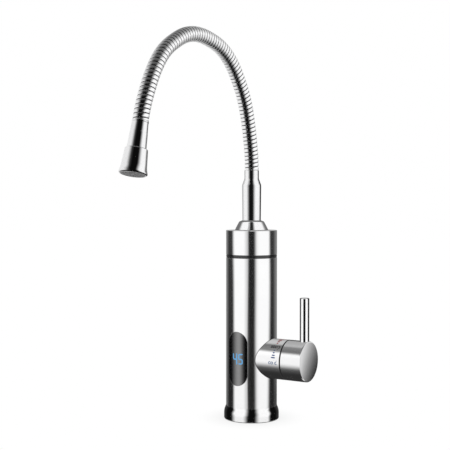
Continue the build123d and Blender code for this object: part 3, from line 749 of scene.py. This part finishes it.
def dome_collar(az, el):
    """Like the spout's, with a black strip to the right."""
    side = abs(az)
    if az < 0:
        white = 0.95 * smooth(side, 22, 70) * (1 - 0.3 * smooth(side, 100, 124) - 0.3 * smooth(side, 124, 155))
    else:
        white = 1.0 * smooth(az, 11, 56) * (1 - smooth(az, 94, 136))
    white *= smooth(el, -55, -20) * (1 - 0.75 * smooth(el, 45, 70))
    return 0.006 + white + 0.3 * smooth(side, 166, 178)


def dome_cone(az, el):
    side = abs(az)
    white = smooth(side, 8, 40) * (1 - 0.84 * (smooth(side, 100, 132) if az > 0 else smooth(side, 90, 118)))
    white *= smooth(el, -40, -5)
    return 0.02 + 1.0 * white


def dome(name, field, receivers, radius):
    cols, rows = 240, 120
    bm = bmesh.new()
    layer = bm.verts.layers.float.new("light")
    grid = []
    for i in range(1, rows):
        el = -90 + 180 * i / rows
        ring = []
        for j in range(cols):
            world = 2 * math.pi * j / cols
            az = (math.degrees(world - FRONT_AZ) + 180) % 360 - 180
            c = math.cos(math.radians(el))
            v = bm.verts.new((radius * c * math.cos(world), radius * c * math.sin(world), radius * math.sin(math.radians(el))))
            v[layer] = field(az, el)
            ring.append(v)
        grid.append(ring)
    for i in range(len(grid) - 1):
        for j in range(cols):
            k = (j + 1) % cols
            bm.faces.new((grid[i][j], grid[i][k], grid[i + 1][k], grid[i + 1][j]))
    for ring, z in ((grid[0], -1), (grid[-1], 1)):
        pole = bm.verts.new((0, 0, z * radius))
        pole[layer] = field(0, z * 90)
        for j in range(cols):
            k = (j + 1) % cols
            bm.faces.new((ring[j], ring[k], pole) if z > 0 else (ring[k], ring[j], pole))
    mesh = bpy.data.meshes.new(name)
    bm.to_mesh(mesh)
    bm.free()
    obj = bpy.data.objects.new(name, mesh)
    scene.collection.objects.link(obj)
    obj.location = (0, 0, 0.15)
    m = bpy.data.materials.new(name)
    t = Tree(m)
    at = t.nt.nodes.new("ShaderNodeAttribute")
    at.attribute_name = "light"
    em = t.add("ShaderNodeEmission", Color=(1, 1, 1, 1), Strength=at.outputs["Fac"])
    tr = t.add("ShaderNodeBsdfTransparent")
    both = t.add("ShaderNodeAddShader")
    t.link(em.outputs[0], both.inputs[0])
    t.link(tr.outputs[0], both.inputs[1])
    t.link(both.outputs[0], t.out.inputs["Surface"])
    m.cycles.emission_sampling = "NONE"
    mesh.materials.append(m)
    obj.visible_camera = False
    obj.visible_shadow = False
    obj.visible_volume_scatter = False
    group = bpy.data.collections.new(name + "_receivers")
    for o in receivers:
        group.objects.link(o)
    obj.light_linking.receiver_collection = group
    return obj


# pieces are not mirrored in each other, so that the metal shows the soft boxes alone
for obj in list(nodes.values()) + [digits, cold_bars, hot_bars, joint_shade_bead] + words:
    obj.visible_glossy = False

GROUPS = [
    ("studio_window", dome_window, [nodes["display_window"], nodes["aerator_insert"]]),
    ("studio_body", dome_body, None),
    ("studio_housing", dome_housing, [nodes["lever_housing"]]),
    ("studio_knob", dome_knob, [nodes["handle_knob"]]),
    ("studio_spout", dome_spout, hose_pieces + [o for n, o in nodes.items() if n.startswith("hose_")]),
    ("studio_nozzle", dome_nozzle, [nodes["nozzle_ferrule"], nodes["nozzle_bell"]]),
    ("studio_collar", dome_collar, [nodes["spout_collar"]]),
    ("studio_cone", dome_cone, [nodes["cone_nut"]]),
    ("studio_pin", dome_pin, [nodes["handle_pin"]]),
    ("studio_foot", dome_foot, [nodes["base_flange"]]),
]
taken = [o for _, _, members in GROUPS if members for o in members]
rest = [o for o in nodes.values() if o not in taken] + [digits, cold_bars, hot_bars, joint_shade_bead] + words
for k, (name, field, members) in enumerate(GROUPS):
    dome(name, field, members or rest, 20.0 + 2.0 * k)

world = bpy.data.worlds.new("studio")
scene.world = world
world.use_nodes = True
nt = world.node_tree
nt.nodes.clear()
out = nt.nodes.new("ShaderNodeOutputWorld")
back = nt.nodes.new("ShaderNodeBackground")
path = nt.nodes.new("ShaderNodeLightPath")
back.inputs["Color"].default_value = (1, 1, 1, 1)
nt.links.new(path.outputs["Is Camera Ray"], back.inputs["Strength"])
nt.links.new(back.outputs[0], out.inputs["Surface"])

bm = bmesh.new()
bmesh.ops.create_grid(bm, x_segments=8, y_segments=8, size=4.0)
floor = new_mesh_object("floor", bm, False)
m = bpy.data.materials.new("pale_floor_painted_contact_shadow")
t = Tree(m)
# the floor glows evenly white; near the foot ambient occlusion darkens it: a painted contact shadow
ao = t.nt.nodes.new("ShaderNodeAmbientOcclusion")
ao.samples = 8
ao.inputs["Distance"].default_value = 0.03
grain = t.noise(t.place(), 60.0, 2.0, 0.5)
# painted contact shadow: up to 28 % darker where the foot is close
shade = t.ramp(ao.outputs["AO"], 0.0, 1.0, 0.72, 1.0)
light = t.math("MULTIPLY", shade, t.ramp(grain, 0.0, 1.0, 1.0, 1.003))
em = t.add("ShaderNodeEmission", Color=(1, 1, 1, 1), Strength=light)
t.link(em.outputs[0], t.out.inputs["Surface"])
m.cycles.emission_sampling = "NONE"
floor.data.materials.append(m)
floor.visible_glossy = False
floor.visible_diffuse = False
floor.visible_transmission = False
floor.visible_shadow = False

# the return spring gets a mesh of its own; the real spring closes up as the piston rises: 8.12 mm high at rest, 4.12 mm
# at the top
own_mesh(nodes["flow_spring"])
